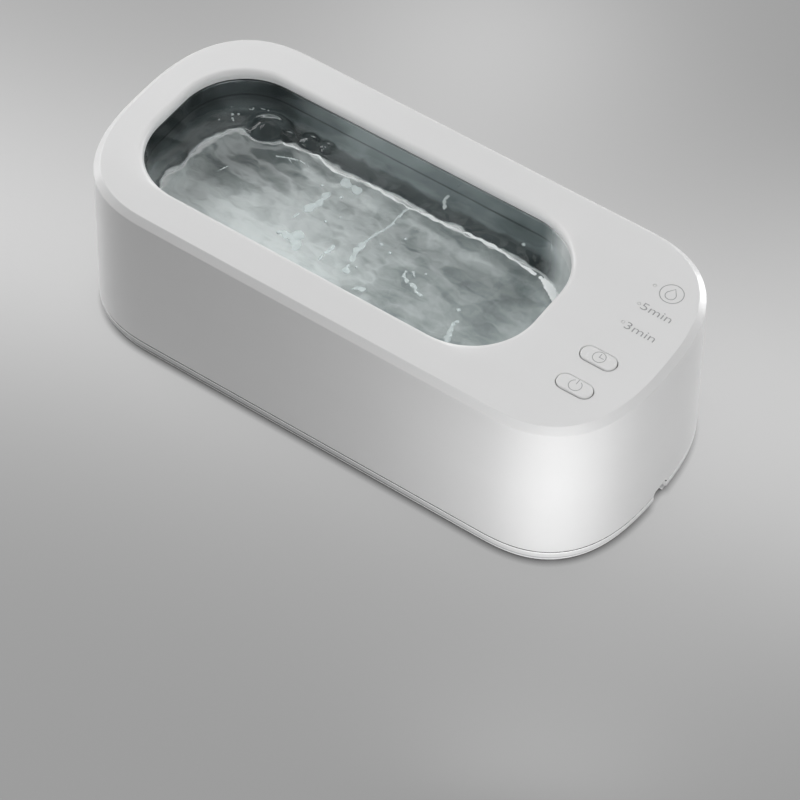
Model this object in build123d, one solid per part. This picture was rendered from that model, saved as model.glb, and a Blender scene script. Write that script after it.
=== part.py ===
"""Table-top ultrasonic bath for lens cases, spectacles and small dental pieces.

Frame: millimetres, +Z up, origin on the table under the middle of the case.
+X is the end with the keys and the supply inlet.
"""
import os
from math import cos, pi, sin, tan

from build123d import *

# ---------------------------------------------------------------- case
body_length = 205.0         # tip to tip at the rim
body_width = 92.4           # side to side at the rim
body_height = 65.2          # table to top face
end_depth = 37.8            # length of each rounded end
end_power = 2.6             # fullness of a rounded end, 2 is an ellipse
end_steps = 14              # curve points from the middle of an end to its side
draft_run = 1.3             # how far each side leans out from rim to seam
rim_drop = 2.15             # bevel round the top face: height
rim_inset = 2.15            # and width
rim_soften = 0.5            # rounding of the bevel's two edges
round_steps = 4             # facets in each of those roundings
wall = 2.2                  # side wall
top_wall = 2.5              # top panel

# ---------------------------------------------------------------- base bands
foot_drop = 0.8             # rubber feet stand this far below the base
foot_band = 2.2             # lowest band: height
foot_band_inset = 1.4       # and how far it is set in
groove_height = 0.5         # shadow groove above it
groove_inset = 2.2
base_band = 2.75            # band that carries on the line of the housing
base_edge = 0.45            # bevel on that band's top and bottom edges
seam_gap = 0.35             # shadow line between base and housing
base_floor = 2.0            # thickness of the tray's floor
label_size = (64.0, 34.0)   # blank rating-label seat under the floor
label_depth = 0.3
label_corner = 3.0
tongue = 1.5                # upstanding ring inside the housing: thickness
tongue_rise = 4.0           # and height above the seam
tongue_gap = 0.35           # clearance to the housing's wall

# ---------------------------------------------------------------- bath
bath_end_margin = 13.7      # plain end of the case to the bath's mouth
bath_side_margin = 15.55    # side of the case to the mouth
control_length = 45.0       # key end of the case to the mouth
bath_corner = 23.5          # corner radius of the mouth
lip_depth = 3.2             # thickness of the lip round the mouth
lip_land = 6.3              # width of the thickened lip
lip_round = 2.0             # rounding of the lip's top edge
tank_setback = 0.35         # the basin's wall stands behind the lip
tank_sheet = 0.8            # steel thickness
tank_flange = 4.4           # flange beyond the basin's wall
tank_depth = 40.0           # top face of the case to the basin's floor
tank_taper = 1.6            # how far the walls lean in at the floor
tank_bottom_round = 9.0
tank_shoulder_round = 0.6
gasket_height = 1.0
gasket_width = 3.4
frame_height = 3.0          # clamping frame under the flange
frame_margin = 2.1          # frame beyond the flange's ends
frame_flat = 4.3            # half of the straight part of the frame's ends
frame_gap = 0.4             # frame to the basin's wall
frame_clearance = 0.5       # frame to the housing's wall and bosses, at the least
frame_boss_radius = 2.7
frame_boss_inset = 6.6      # boss centre to the side of the case

# ---------------------------------------------------------------- ultrasound
plate_radius = 20.0
plate_height = 2.0
disc_radius = 17.5
disc_height = 2.6

# ---------------------------------------------------------------- keys and lights
key_length = 13.0           # hole for a pill key
key_width = 6.4
key_gap = 0.28              # key to hole, all round
key_pitch = 13.5
key_from_end = 20.1         # key centres to the tip of the case
key_from_side = 23.8        # power key's centre to the side of the case
key_proud = 0.3
key_round = 0.45            # rounding of a key's top edge
key_mouth_bevel = 0.25      # bevel round each key's hole
key_travel = 0.5
key_flange = 0.8            # hidden flange: width beyond the hole, and thickness
key_flange_gap = 0.25       # flange to the underside of the panel at rest
light_from_end = 21.9       # lights to the tip of the case
light_first_y = 7.75
light_pitch = 9.15
light_radius = 0.5
light_clearance = 0.1
light_bar_width = 3.0
light_bar_height = 1.2

# ---------------------------------------------------------------- key board
key_board_drop = 6.7        # underside of the panel to the board's face
key_board_length = 21.5
key_board_from_side = 16.2
key_board_from_end = 10.5
key_board_corner = 1.0
board_sheet = 1.6           # thickness of both circuit boards
key_boss_radius = 2.4
key_boss_edge = 3.0         # boss centre to the board's edges
key_boss_gap = 2.5          # middle boss to the timer key's flange
switch_side = 6.0           # tact switch: square body
switch_body_height = 3.5
switch_height = 5.0         # board to the top of the plunger
switch_corner = 0.4
plunger_radius = 1.75
plunger_gap = 0.1           # sliding fit in the switch
plunger_length = 3.2
led_size = (2.0, 1.25, 0.8)
shield_width = 4.0
shield_cell = 1.5           # radius of each light's cell
chip_size = (5.0, 6.2, 1.6)
chip_corner = 0.2
chip_y = 12.0

# ---------------------------------------------------------------- drive board
board_height = 13.0         # table to the board's underside
board_length = 26.0
board_from_end = 9.5
board_corner = 2.0
board_post_edge = 3.5       # post centre to the board's edges
board_post_radius = 2.8
board_side_gap = 1.3        # board to the case posts
transformer_core = (20.0, 14.0, 5.0)     # ferrite frame with a middle leg
transformer_leg = 4.6
winding_size = (13.4, 9.0, 14.0)
winding_corner = 2.0
transformer_slack = 0.1
inductor_radius = 4.0
inductor_height = 9.0
inductor_flange = 1.35
inductor_waist = 0.6        # depth of the wound waist
sink_size = (8.0, 22.0, 22.0)
sink_fins = 5
sink_fin = 1.0
sink_back = 2.0
transistor_size = (4.5, 10.0, 15.0)
transistor_gap = 1.0
# radius and height of each can, and its middle to the board's bath side
capacitors = ((4.0, 12.0, 5.0), (3.0, 11.0, 7.0))
can_edge = 0.6
film_size = (7.2, 4.5, 9.0)
film_corner = 0.8
lead_connector = (6.0, 7.0, 6.5)
lead_connector_edge = 0.3
ribbon_connector = (3.8, 8.6, 4.5)
ribbon_connector_edge = 9.5     # its middle to the board's bath side
connector_y = 1.5
board_part_gap = 0.8            # between neighbours on the drive board

# ---------------------------------------------------------------- supply inlet
recess_half_width = 3.85
recess_top = 8.0
recess_round = 1.6
inlet_hole_radius = 1.85    # takes a 3.5 mm plug
inlet_bore_radius = 1.8
inlet_pin_radius = 0.65
socket_size = (11.0, 6.4, 4.2)
socket_rib = 1.2            # thickness of the cradle's ribs
socket_stop = 1.3           # height of the rib behind the socket
socket_back = 2.0           # solid end of the socket, behind its bore
inlet_pin_setback = 1.5     # pin's tip to the socket's mouth
socket_slack = 0.1

# ---------------------------------------------------------------- leads
lead_radius = 0.7
lead_spacing = 2.5
lead_bend = 8.0
lead_tab = (3.0, 1.8, 1.6)      # soldered end of each lead
lead_tab_radius = 10.5          # and its distance from the disc's middle
lead_run = 12.0                 # level part of each lead at either end
lead_fall = 14.0                # length over which it comes down, and up again
lead_low = 4.0                  # its height over the tray's floor
clip_size = (2.0, 0.8, 6.0)     # ribs that keep the leads apart
ribbon_thickness = 0.9
ribbon_width = 7.0
ribbon_bow = 3.0
ribbon_straight = 4.6           # straight part above and below a connector
ribbon_bend = 10.0
supply_bend = 4.0
supply_straight = 2.0           # from the socket's back to the bend
supply_lead_y = 1.6             # each lead to the socket's middle

# ---------------------------------------------------------------- feet and fasteners
foot_radius = 5.0
foot_recess = 1.2
foot_gap = 0.2
foot_edge = 0.5
foot_from_end = 31.0
foot_from_side = 13.5
case_post_from_end = 16.0   # case screws to the tips
case_post_from_side = 9.7   # and to the sides
case_post_radius = 4.2
case_boss_radius = 3.6
case_post_top = 11.0        # where post and boss meet
case_screw_seat = 4.8
screw_slack = 0.05          # shank to its thread's hole
screw_clearance = 0.2       # shank to a plain hole
counterbore_gap = 0.35      # head to the well it sits in
# thread radius, head radius, head height, length
case_screw = (1.5, 2.75, 2.0, 14.0)
frame_screw = (1.25, 2.3, 1.6, 6.0)
board_screw = (1.25, 2.4, 1.6, 6.0)
key_screw = (1.0, 1.9, 1.3, 5.0)

same_place = 0.01           # points this close are one point

# ---------------------------------------------------------------- levels and places
tip = body_length / 2
side = body_width / 2
straight_half = tip - end_depth
rim_z = body_height - rim_drop
ceiling = body_height - top_wall
groove_z = foot_drop + foot_band
band_z = groove_z + groove_height
seam_z = band_z + base_band
housing_z = seam_z + seam_gap
floor_z = foot_drop + base_floor

bath_length = body_length - bath_end_margin - control_length
bath_width = body_width - 2 * bath_side_margin
bath_x = (bath_end_margin - control_length) / 2
lip_z = body_height - lip_depth
flange_z = lip_z - gasket_height
frame_top = flange_z - tank_sheet
frame_z = frame_top - frame_height
tank_floor_z = body_height - tank_depth
plate_z = tank_floor_z - tank_sheet - plate_height
disc_z = plate_z - disc_height
tank_outer = tank_setback + tank_sheet
frame_outer = tank_outer + tank_flange + frame_margin
frame_boss_y = side - frame_boss_inset
frame_length = bath_length + 2 * frame_outer
frame_width = 2 * (frame_boss_y + frame_boss_radius)
frame_corner = frame_width / 2 - frame_flat
frame_boss_pitch = frame_length / 2 - frame_corner

key_x = tip - key_from_end
power_key_y = key_from_side - side
timer_key_y = power_key_y + key_pitch
middle_boss_y = timer_key_y + key_width / 2 + key_flange + key_boss_gap + key_boss_radius
flange_top = ceiling - key_flange_gap
key_board_top = ceiling - key_board_drop
key_board_z = key_board_top - board_sheet
key_board_x = tip - key_board_from_end - key_board_length / 2
key_board_width = body_width - 2 * key_board_from_side
plunger_top = key_board_top + switch_height
light_x = tip - light_from_end
light_ys = [light_first_y + light_pitch * step for step in range(3)]

board_top = board_height + board_sheet
board_x = tip - board_from_end - board_length / 2
case_post_x = tip - case_post_from_end
case_post_y = side - case_post_from_side
board_width = 2 * (case_post_y - case_post_radius - board_side_gap)
board_left = board_x - board_length / 2
board_right = board_x + board_length / 2

inlet_face_x = tip + draft_run - wall - tongue_gap
inlet_wall_x = inlet_face_x - tongue
socket_front_x = inlet_wall_x - socket_slack
inlet_z = floor_z + socket_size[2] / 2
lead_z = board_top + lead_connector[2] / 2
lead_start_x = bath_x + lead_tab_radius
lead_end_x = board_left + lead_connector_edge
clip_x = (lead_start_x + lead_end_x) / 2
ribbon_x = board_left + ribbon_connector_edge
parts_low_y = connector_y - ribbon_connector[1] / 2 - board_part_gap
parts_high_y = connector_y + ribbon_connector[1] / 2 + board_part_gap
transformer_y = parts_low_y - transformer_core[1] / 2
inductor_y = transformer_y - transformer_core[1] / 2 - board_part_gap - inductor_radius
sink_x = board_right - sink_size[0] / 2 - board_part_gap
sink_y = parts_low_y + board_part_gap + sink_size[1] / 2
film_x = board_left + capacitors[1][2] + capacitors[1][0] + board_part_gap + film_size[0] / 2
film_y = sink_y + sink_size[1] / 2 + board_part_gap + film_size[1] / 2


# ---------------------------------------------------------------- shared shapes
def body_outline(grow, z):
    """The case's outline at height z, grown outwards by grow."""
    depth = end_depth + grow
    half_width = side + grow
    ends = []
    for hand in (1, -1):
        points = []
        for step in range(-end_steps, end_steps + 1):
            turn = pi / 2 * step / end_steps
            along = (cos(turn) / depth) ** end_power
            across = (abs(sin(turn)) / half_width) ** end_power
            reach = (along + across) ** (-1 / end_power)
            points.append((hand * (straight_half + reach * cos(turn)), hand * reach * sin(turn)))
        ends.append(Spline(*points))
    sides = [Line(ends[0] @ 1, ends[1] @ 0), Line(ends[1] @ 1, ends[0] @ 0)]
    return Pos(0, 0, z) * make_face([ends[0], sides[0], ends[1], sides[1]])


def body_block(*steps):
    """A solid with the case's outline through each (grow, z) step."""
    return loft([body_outline(grow, z) for grow, z in steps], ruled=True)


def rounded_turn(before, corner, after):
    """The (grow, z) steps of an arc that rounds one corner of the case's profile."""
    toward = [Vector(*point) - Vector(*corner) for point in (before, after)]
    toward = [direction.normalized() for direction in toward]
    half_angle = toward[0].get_angle(toward[1]) * pi / 360
    centre = Vector(*corner) + (toward[0] + toward[1]).normalized() * (rim_soften / sin(half_angle))
    reach = rim_soften / tan(half_angle)
    first, last = [Vector(*corner) + direction * reach - centre for direction in toward]
    steps = []
    for step in range(round_steps + 1):
        share = step / round_steps
        spoke = (first * (1 - share) + last * share).normalized() * rim_soften
        steps.append(((centre + spoke).X, (centre + spoke).Y))
    return steps


def lean(z):
    """How far the case's side has leaned out at height z."""
    return draft_run * (rim_z - z) / (rim_z - housing_z)


def bath_face(grow, corner=None):
    """The mouth's rounded outline, grown outwards by grow."""
    radius = bath_corner + grow if corner is None else corner
    return Pos(bath_x, 0, 0) * RectangleRounded(bath_length + 2 * grow, bath_width + 2 * grow, radius)


def slab(face, z, height):
    """A flat face turned into a plate that starts at z."""
    return extrude(Pos(0, 0, z) * face, height)


def box(size, x, y, z):
    """A block standing on z, centred on x and y."""
    return Pos(x, y, z) * Box(*size, align=(Align.CENTER, Align.CENTER, Align.MIN))


def rod(radius, height, x, y, z):
    """An upright cylinder standing on z."""
    return Pos(x, y, z) * Cylinder(radius, height, align=(Align.CENTER, Align.CENTER, Align.MIN))


def screw(kind, x, y, seat_z, up=True):
    """A pan-head screw whose head bears on seat_z; up is the way its thread points."""
    radius, head_radius, head_height, length = kind
    head = rod(head_radius, head_height, 0, 0, -head_height)
    head = fillet(head.edges().group_by(Axis.Z)[0], head_height * 0.4)
    slot = box((head_radius * 1.3, head_height * 0.25, head_height * 0.5), 0, 0, -head_height)
    whole = rod(radius - screw_slack, length, 0, 0, 0) + head - slot - Rot(0, 0, 90) * slot
    turn = Rot(0, 0, 0) if up else Rot(180, 0, 0)
    return Pos(x, y, seat_z) * turn * whole


def top_edges_along(shape, outline):
    """The edges of a shape's top that follow a flat outline."""
    top = shape.edges().group_by(Axis.Z)[-1]
    lift = Pos(0, 0, (top[0] @ 0).Z)
    middles = [edge @ 0.5 for edge in (lift * outline).edges()]
    return [edge for edge in top if min((edge @ 0.5 - middle).length for middle in middles) < same_place]


def corners(x, y):
    """The four points at plus and minus x and y."""
    return [(sx * x, sy * y) for sx in (1, -1) for sy in (1, -1)]


def tube(path, radius):
    """A round lead along a path."""
    return sweep(Plane(origin=path @ 0, z_dir=path % 0) * Circle(radius), path)


case_posts = corners(case_post_x, case_post_y)
feet = corners(tip - foot_from_end, side - foot_from_side)
frame_bosses = [
    (bath_x + step * frame_boss_pitch, hand * frame_boss_y)
    for step in (-1, 0, 1)
    for hand in (1, -1)
]
board_posts = [
    (board_x + sx * (board_length / 2 - board_post_edge), sy * (board_width / 2 - board_post_edge))
    for sx in (1, -1)
    for sy in (1, -1)
]
key_bosses = [
    (key_board_x - key_board_length / 2 + key_boss_edge, -key_board_width / 2 + key_boss_edge),
    (key_board_x - key_board_length / 2 + key_boss_edge, key_board_width / 2 - key_boss_edge),
    (key_board_x + key_board_length / 2 - key_boss_edge, middle_boss_y),
]


# ---------------------------------------------------------------- case
def inlet_recess():
    """The arch-topped notch that the supply plug enters."""
    depth = 2 * (wall + tongue_gap)
    profile = Rectangle(2 * recess_half_width, 2 * recess_top)
    profile = fillet(profile.vertices().group_by(Axis.Y)[-1], recess_round)
    return extrude(Plane(origin=(inlet_face_x, 0, 0), x_dir=(0, 1, 0), z_dir=(1, 0, 0)) * profile, depth)


def make_upper_housing():
    """Moulded shell: side wall, bevelled top, lip round the bath, bosses inside."""
    shell = body_block(
        (draft_run, housing_z),
        *rounded_turn((draft_run, housing_z), (0, rim_z), (-rim_inset, body_height)),
        *rounded_turn((0, rim_z), (-rim_inset, body_height), (-side, body_height)),
    )
    shell -= body_block((lean(housing_z) - wall, housing_z), (lean(ceiling) - wall, ceiling))
    shell += slab(bath_face(lip_land), lip_z, ceiling - lip_z + top_wall / 2)
    for x, y in case_posts:
        shell += rod(case_boss_radius, ceiling - case_post_top, x, y, case_post_top)
        shell -= rod(case_screw[0], case_screw[3], x, y, case_post_top)
    for x, y in frame_bosses:
        shell += rod(frame_boss_radius, ceiling - frame_top, x, y, frame_top)
        shell -= rod(frame_screw[0], frame_screw[3], x, y, frame_z)
    for x, y in key_bosses:
        shell += rod(key_boss_radius, ceiling - key_board_top, x, y, key_board_top)
        shell -= rod(key_screw[0], key_screw[3], x, y, key_board_z)
    shell -= slab(bath_face(0), lip_z, lip_depth)
    shell = fillet(top_edges_along(shell, bath_face(0)), lip_round)
    spread = 2 * key_mouth_bevel
    for y in (power_key_y, timer_key_y):
        hole = Pos(key_x, y) * SlotOverall(key_length, key_width)
        flare = Pos(key_x, y) * SlotOverall(key_length + spread, key_width + spread)
        shell -= slab(hole, ceiling, top_wall)
        low = Pos(0, 0, body_height - key_mouth_bevel) * hole
        shell -= loft([low, Pos(0, 0, body_height) * flare], ruled=True)
    for y in light_ys:
        shell -= rod(light_radius + light_clearance, top_wall, light_x, y, ceiling)
    return shell - inlet_recess()


def make_base_cover():
    """Tray that closes the case: banded rim, tongue, posts, inlet cradle, foot seats."""
    grow = draft_run
    tray = body_block((grow - foot_band_inset, foot_drop), (grow - foot_band_inset, groove_z))
    tray += body_block((grow - groove_inset, groove_z), (grow - groove_inset, band_z))
    tray += body_block(
        (grow - base_edge, band_z),
        (grow, band_z + base_edge),
        (grow, seam_z - base_edge),
        (grow - base_edge, seam_z),
    )
    outer = grow - wall - tongue_gap
    top = seam_z + tongue_rise
    tray += body_block((outer, seam_z), (outer, top))
    tray -= body_block((outer - tongue, floor_z), (outer - tongue, top))
    inside = body_block((outer, foot_drop), (outer, case_post_top))
    for x, y in case_posts:
        tray += rod(case_post_radius, case_post_top - foot_drop, x, y, foot_drop) & inside
    for x, y in board_posts:
        tray += rod(board_post_radius, board_height - floor_z, x, y, floor_z)
        tray -= rod(board_screw[0], board_screw[3], x, y, board_top - board_screw[3])
    socket_x = socket_front_x - socket_size[0] / 2
    for hand in (1, -1):
        rib_y = hand * (socket_size[1] / 2 + socket_slack + socket_rib / 2)
        tray += box((socket_size[0] + socket_rib, socket_rib, socket_size[2]), socket_x, rib_y, floor_z)
    stop_x = socket_front_x - socket_size[0] - socket_slack - socket_rib / 2
    tray += box((socket_rib, socket_size[1] + 2 * socket_rib, socket_stop), stop_x, 0, floor_z)
    for hand in (-1, 0, 1):
        tray += box(clip_size, clip_x, connector_y + hand * lead_spacing, floor_z)
    for x, y in case_posts:
        tray -= rod(case_screw[0] + screw_clearance, case_post_top, x, y, 0)
        tray -= rod(case_screw[1] + counterbore_gap, case_screw_seat, x, y, 0)
    for x, y in feet:
        tray -= rod(foot_radius + foot_gap, foot_recess, x, y, foot_drop)
    tray -= slab(RectangleRounded(*label_size, label_corner), foot_drop, label_depth)
    tray -= Pos(inlet_face_x, 0, inlet_z) * Rot(0, 90, 0) * Cylinder(inlet_hole_radius, 4 * tongue)
    return tray - inlet_recess()


def make_rubber_feet():
    """Round pads seated in the base."""
    pads = []
    for x, y in feet:
        pad = rod(foot_radius, foot_drop + foot_recess, x, y, 0)
        pads.append(fillet(pad.edges().group_by(Axis.Z)[0], foot_edge))
    return pads


def make_case_screws():
    """Screws from below, through the base's posts into the housing's bosses."""
    return [screw(case_screw, x, y, case_screw_seat) for x, y in case_posts]


# ---------------------------------------------------------------- bath
def basin(grow, floor_level, corner_round):
    """The basin's form, from its floor to the flange's top."""
    low = Pos(0, 0, floor_level) * bath_face(grow - tank_taper, bath_corner + grow - tank_taper)
    high = Pos(0, 0, flange_z) * bath_face(grow)
    form = loft([low, high], ruled=True)
    return fillet(form.edges().group_by(Axis.Z)[0], corner_round)


def make_wash_tank():
    """Deep-drawn basin with a flat flange."""
    tank = basin(tank_outer, tank_floor_z - tank_sheet, tank_bottom_round + tank_sheet)
    tank += slab(bath_face(tank_outer + tank_flange), flange_z - tank_sheet, tank_sheet)
    tank -= basin(tank_setback, tank_floor_z, tank_bottom_round)
    return fillet(top_edges_along(tank, bath_face(tank_setback)), tank_shoulder_round)


def make_tank_gasket():
    """Silicone ring between the lip and the flange."""
    grow = tank_outer
    ring = slab(bath_face(grow + gasket_width), flange_z, gasket_height)
    return ring - slab(bath_face(grow), flange_z, gasket_height)


def make_tank_frame():
    """Ring that clamps the flange up to the housing."""
    outline = Pos(bath_x, 0) * RectangleRounded(frame_length, frame_width, frame_corner)
    clear = wall + frame_clearance
    ring = slab(outline, frame_z, frame_height)
    ring &= body_block((lean(frame_z) - clear, frame_z), (lean(frame_top) - clear, frame_top))
    ring -= slab(bath_face(tank_outer + frame_gap), frame_z, frame_height)
    for x, y in case_posts:
        ring -= rod(case_boss_radius + frame_clearance, frame_height, x, y, frame_z)
    for x, y in frame_bosses:
        ring -= rod(frame_screw[0] + screw_clearance, frame_height, x, y, frame_z)
    return ring


def make_tank_frame_screws():
    """Screws up through the frame."""
    return [screw(frame_screw, x, y, frame_z) for x, y in frame_bosses]


def make_transducer_plate():
    """Aluminium plate bonded under the basin."""
    return rod(plate_radius, plate_height, bath_x, 0, plate_z)


def make_transducer_disc():
    """Piezo disc bonded under the plate."""
    return rod(disc_radius, disc_height, bath_x, 0, disc_z)


# ---------------------------------------------------------------- keys and lights
def make_key(y):
    """Pill key with a hidden flange and a stem that rests on its switch."""
    length = key_length - 2 * key_gap
    width = key_width - 2 * key_gap
    cap = slab(Pos(key_x, y) * SlotOverall(length, width), flange_top, body_height + key_proud - flange_top)
    cap = fillet(cap.edges().group_by(Axis.Z)[-1], key_round)
    spread = 2 * key_flange
    flange = Pos(key_x, y) * SlotOverall(key_length + spread, key_width + spread)
    key = cap + slab(flange, flange_top - key_flange, key_flange)
    return key + rod(plunger_radius, flange_top - plunger_top, key_x, y, plunger_top)


def make_switch(y):
    """Square tact switch with a bore for its plunger."""
    body = box((switch_side, switch_side, switch_body_height), key_x, y, key_board_top)
    body = fillet(body.edges().filter_by(Axis.Z), switch_corner)
    bore_depth = plunger_length + key_travel + plunger_gap - (switch_height - switch_body_height)
    bore_z = key_board_top + switch_body_height - bore_depth
    return body - rod(plunger_radius + plunger_gap, bore_depth, key_x, y, bore_z)


def make_plunger(y):
    """Round plunger of a tact switch."""
    return rod(plunger_radius, plunger_length, key_x, y, plunger_top - plunger_length)


def make_light_pipes():
    """Clear bar under the panel with a pin up each pin-hole."""
    low, high = light_ys[0], light_ys[-1]
    size = (light_bar_width, high - low + 2 * light_bar_width, light_bar_height)
    bar = box(size, light_x, (low + high) / 2, ceiling - light_bar_height)
    for y in light_ys:
        bar += rod(light_radius, top_wall, light_x, y, ceiling)
    return bar


def make_light_shield():
    """Opaque block that keeps each light in its own cell."""
    low, high = light_ys[0], light_ys[-1]
    height = ceiling - light_bar_height - key_board_top
    size = (shield_width, high - low + 2 * light_bar_width, height)
    block = box(size, light_x, (low + high) / 2, key_board_top)
    for y in light_ys:
        block -= rod(shield_cell, height, light_x, y, key_board_top)
    return block


def make_indicator_leds():
    """Surface-mount lights, one in each cell."""
    return [box(led_size, light_x, y, key_board_top) for y in light_ys]


def make_key_board():
    """Board that carries the switches and lights."""
    board = box((key_board_length, key_board_width, board_sheet), key_board_x, 0, key_board_z)
    board = fillet(board.edges().filter_by(Axis.Z), key_board_corner)
    for x, y in key_bosses:
        board -= rod(key_screw[0] + screw_clearance, board_sheet, x, y, key_board_z)
    return board


def make_key_board_screws():
    """Screws from below into the panel's bosses."""
    return [screw(key_screw, x, y, key_board_z) for x, y in key_bosses]


def make_control_chip():
    """Timer chip on the underside of the key board."""
    chip = box(chip_size, key_x, chip_y, key_board_z - chip_size[2])
    return fillet(chip.edges().filter_by(Axis.Z), chip_corner)


# ---------------------------------------------------------------- drive electronics
def make_main_board():
    """Ultrasonic drive board on the base's posts."""
    board = box((board_length, board_width, board_sheet), board_x, 0, board_height)
    board = fillet(board.edges().filter_by(Axis.Z), board_corner)
    for x, y in board_posts:
        board -= rod(board_screw[0] + screw_clearance, board_sheet, x, y, board_height)
    return board


def make_main_board_screws():
    """Screws from above into the base's posts."""
    return [screw(board_screw, x, y, board_top, up=False) for x, y in board_posts]


def make_drive_transformer():
    """Ferrite core: a flat frame with a middle leg, carried at mid height by its winding."""
    core_z = board_top + (winding_size[2] - transformer_core[2]) / 2
    core = box(transformer_core, board_x, transformer_y, core_z)
    window_length = winding_size[1] + 2 * transformer_slack
    window_width = (winding_size[0] - transformer_leg) / 2 + transformer_slack
    offset = (transformer_leg + window_width) / 2
    for hand in (1, -1):
        size = (window_width, window_length, transformer_core[2])
        core -= box(size, board_x + hand * offset, transformer_y, core_z)
    return core


def make_transformer_winding():
    """Taped winding round the core's middle leg."""
    coil = box(winding_size, board_x, transformer_y, board_top)
    coil = fillet(coil.edges().filter_by(Axis.Y), winding_corner)
    hole_height = transformer_core[2] + 2 * transformer_slack
    hole_z = board_top + (winding_size[2] - hole_height) / 2
    return coil - box((transformer_leg, winding_size[1], hole_height), board_x, transformer_y, hole_z)


def make_tuning_inductor():
    """Drum inductor with a waist."""
    drum = rod(inductor_radius, inductor_height, board_x, inductor_y, board_top)
    waist_height = inductor_height - 2 * inductor_flange
    ring = rod(inductor_radius, waist_height, board_x, inductor_y, board_top + inductor_flange)
    ring -= rod(inductor_radius - inductor_waist, inductor_height, board_x, inductor_y, board_top)
    return drum - ring


def make_heat_sink():
    """Finned aluminium heat sink."""
    depth, width, height = sink_size
    sink = box((sink_back, width, height), sink_x - depth / 2 + sink_back / 2, sink_y, board_top)
    pitch = (width - sink_fin) / (sink_fins - 1)
    for step in range(sink_fins):
        y = sink_y - width / 2 + sink_fin / 2 + step * pitch
        sink += box((depth, sink_fin, height), sink_x, y, board_top)
    return sink


def make_drive_transistors():
    """Two power transistors against the heat sink's back."""
    x = sink_x - sink_size[0] / 2 - transistor_size[0] / 2
    offset = (transistor_size[1] + transistor_gap) / 2
    return [box(transistor_size, x, sink_y + hand * offset, board_top) for hand in (1, -1)]


def make_filter_capacitors():
    """Electrolytic cans."""
    cans = []
    y = parts_high_y
    for radius, height, from_edge in capacitors:
        can = rod(radius, height, board_left + from_edge, y + radius, board_top)
        cans.append(fillet(can.edges().group_by(Axis.Z)[-1], can_edge))
        y += 2 * radius + board_part_gap
    return cans


def make_film_capacitor():
    """Boxed film capacitor."""
    block = box(film_size, film_x, film_y, board_top)
    return fillet(block.edges().filter_by(Axis.Z), film_corner)


def make_board_connectors():
    """Transducer connector and the two ends of the panel ribbon."""
    x = board_left + lead_connector[0] / 2 + lead_connector_edge
    return [
        box(lead_connector, x, connector_y, board_top),
        box(ribbon_connector, ribbon_x, connector_y, board_top),
        box(ribbon_connector, ribbon_x, connector_y, key_board_z - ribbon_connector[2]),
    ]


# ---------------------------------------------------------------- supply inlet
def make_dc_socket():
    """Low-voltage barrel socket behind the recess."""
    length = socket_size[0]
    body = box(socket_size, socket_front_x - length / 2, 0, floor_z)
    bore_depth = length - socket_back
    axis_pos = Pos(socket_front_x - bore_depth / 2, 0, inlet_z) * Rot(0, 90, 0)
    return body - axis_pos * Cylinder(inlet_bore_radius, bore_depth)


def make_dc_socket_pin():
    """Centre pin of the socket."""
    back = socket_front_x - socket_size[0] + socket_back
    length = socket_size[0] - socket_back - inlet_pin_setback
    return Pos(back + length / 2, 0, inlet_z) * Rot(0, 90, 0) * Cylinder(inlet_pin_radius, length)


# ---------------------------------------------------------------- leads
def make_transducer_leads():
    """Two leads from the piezo disc to the drive board."""
    leads = []
    start_z = disc_z - lead_tab[2] / 2
    low_z = floor_z + lead_low
    for hand in (1, -1):
        y = connector_y + hand * lead_spacing / 2
        points = [
            (lead_start_x, y, start_z),
            (lead_start_x + lead_run, y, start_z),
            (lead_start_x + lead_run + lead_fall, y, low_z),
            (lead_end_x - lead_run - lead_fall, y, low_z),
            (lead_end_x - lead_run, y, lead_z),
            (lead_end_x, y, lead_z),
        ]
        lead = tube(FilletPolyline(*points, radius=lead_bend), lead_radius)
        leads.append(lead + box(lead_tab, lead_start_x, y, disc_z - lead_tab[2]))
    return leads


def make_panel_ribbon():
    """Flat cable from the drive board up to the key board."""
    low = board_top + ribbon_connector[2]
    high = key_board_z - ribbon_connector[2]
    points = [
        (ribbon_x, connector_y, low),
        (ribbon_x, connector_y, low + ribbon_straight),
        (ribbon_x - ribbon_bow, connector_y, (low + high) / 2),
        (ribbon_x, connector_y, high - ribbon_straight),
        (ribbon_x, connector_y, high),
    ]
    path = FilletPolyline(*points, radius=ribbon_bend)
    start = Plane(origin=path @ 0, x_dir=(0, 1, 0), z_dir=path % 0)
    return sweep(start * Rectangle(ribbon_width, ribbon_thickness), path)


def make_power_leads():
    """Two leads from the socket's back, up to the drive board's underside."""
    leads = []
    start_x = socket_front_x - socket_size[0]
    turn_x = start_x - supply_straight - supply_bend
    for hand in (1, -1):
        y = hand * supply_lead_y
        points = [(start_x, y, inlet_z), (turn_x, y, inlet_z), (turn_x, y, board_height)]
        leads.append(tube(FilletPolyline(*points, radius=supply_bend), lead_radius))
    return leads


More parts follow.
